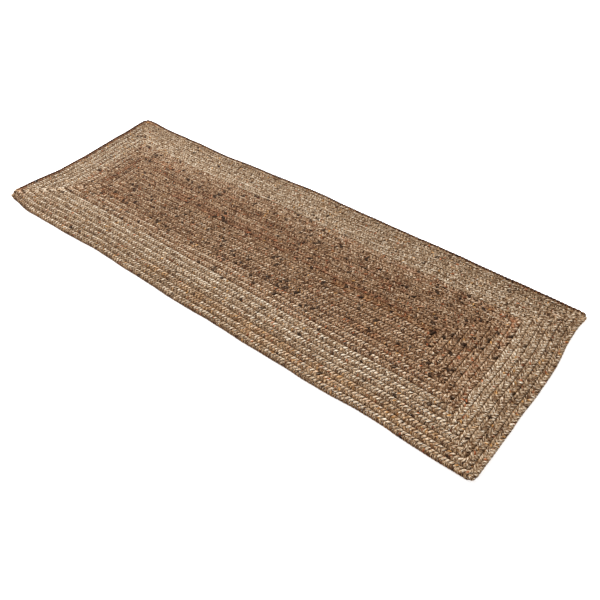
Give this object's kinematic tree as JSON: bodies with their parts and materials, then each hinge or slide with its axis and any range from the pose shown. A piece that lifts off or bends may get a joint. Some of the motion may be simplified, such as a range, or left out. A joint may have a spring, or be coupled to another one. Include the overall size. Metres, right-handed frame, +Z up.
{
  "type": "braided runner rug",
  "caption": "Long rectangular braided jute rug: a flat plait wound in a rectangular spiral and laced edge to edge, with a brown field and a paler border.",
  "frame": {"origin": "centre of the rug's outline on its underside, where it lies on the floor", "axes": "+X along the rug's length, towards the end where the border braid's last turn comes round; +Y across its width, away from the side with one more border course; +Z up, through its thickness"},
  "size_m": [2, 0.7, 0.01],
  "materials": {
    "field_jute": "rough plaited jute, brown with rust and dark flecks",
    "border_jute": "rough plaited jute, pale tan",
    "edge_jute": "rough plaited jute, tan with golden flecks",
    "jute_thread": "twisted jute twine"
  },
  "bodies": {
    "root": {"field_core": "field_jute", "field_turn_1": "field_jute", "field_turn_2": "field_jute", "field_turn_3": "field_jute", "field_turn_4": "field_jute", "field_turn_5": "field_jute", "field_turn_6": "field_jute", "field_turn_7": "field_jute", "field_turn_8": "field_jute", "border_turn_1": "border_jute", "border_turn_2": "border_jute", "border_turn_3": "border_jute", "border_turn_4": "border_jute", "border_turn_5": "edge_jute", "border_turn_6": "edge_jute", "border_last_run": "edge_jute", "field_lacing_1": "jute_thread", "field_lacing_2": "jute_thread", "field_lacing_3": "jute_thread", "field_lacing_4": "jute_thread", "field_lacing_5": "jute_thread", "field_lacing_6": "jute_thread", "field_lacing_7": "jute_thread", "field_lacing_8": "jute_thread", "border_lacing_1": "jute_thread", "border_lacing_2": "jute_thread", "border_lacing_3": "jute_thread", "border_lacing_4": "jute_thread", "border_lacing_5": "jute_thread", "border_lacing_6": "jute_thread", "border_lacing_7": "jute_thread", "start_binding": "jute_thread", "splice_binding": "jute_thread", "tail_binding": "jute_thread"}
  },
  "joints": []
}
